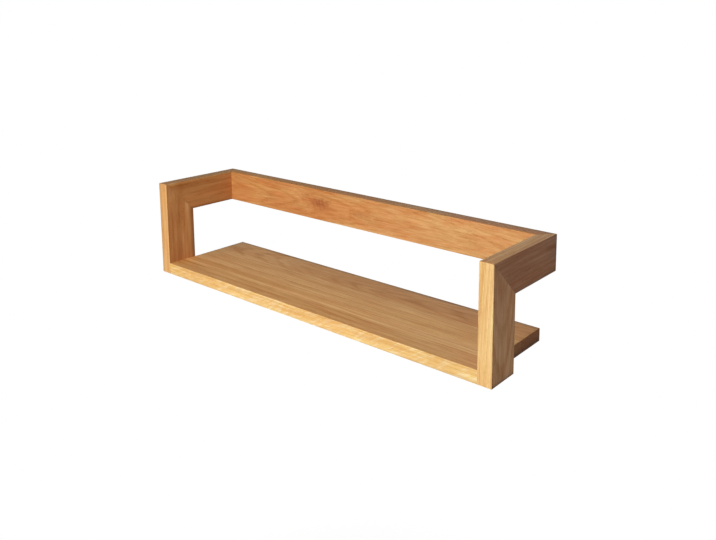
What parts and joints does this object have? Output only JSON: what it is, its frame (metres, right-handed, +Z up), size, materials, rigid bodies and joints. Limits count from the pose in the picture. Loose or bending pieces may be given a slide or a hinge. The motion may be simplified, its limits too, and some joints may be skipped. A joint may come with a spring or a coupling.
{
  "type": "wall shelf",
  "caption": "Solid oak wall shelf: a board between two short posts, with mitred side rails running back to a long top rail that hangs on the wall.",
  "frame": {"origin": "middle of the back rail's rear face, which lies against the wall", "axes": "+X along the shelf to its right end as seen from the front, +Y into the wall, +Z up"},
  "size_m": [0.9, 0.21, 0.21],
  "materials": {
    "board_oak": "oiled",
    "post_oak": "oiled",
    "side_rail_oak": "oiled",
    "back_rail_oak": "oiled",
    "dowel_beech": "raw",
    "hanger_steel": "zinc plated",
    "screw_steel": "zinc plated"
  },
  "bodies": {
    "root": {"shelf_board_front_stave": "board_oak", "shelf_board_middle_stave": "board_oak", "shelf_board_back_stave": "board_oak", "left_post": "post_oak", "left_side_rail": "side_rail_oak", "right_post": "post_oak", "right_side_rail": "side_rail_oak", "back_rail": "back_rail_oak", "left_board_dowel_1": "dowel_beech", "left_board_dowel_2": "dowel_beech", "left_board_dowel_3": "dowel_beech", "left_mitre_dowel_1": "dowel_beech", "left_corner_dowel_1": "dowel_beech", "left_mitre_dowel_2": "dowel_beech", "left_corner_dowel_2": "dowel_beech", "right_board_dowel_1": "dowel_beech", "right_board_dowel_2": "dowel_beech", "right_board_dowel_3": "dowel_beech", "right_mitre_dowel_1": "dowel_beech", "right_corner_dowel_1": "dowel_beech", "right_mitre_dowel_2": "dowel_beech", "right_corner_dowel_2": "dowel_beech", "left_hanger_plate": "hanger_steel", "left_hanger_screw_upper": "screw_steel", "left_hanger_screw_lower": "screw_steel", "right_hanger_plate": "hanger_steel", "right_hanger_screw_upper": "screw_steel", "right_hanger_screw_lower": "screw_steel"}
  },
  "joints": []
}
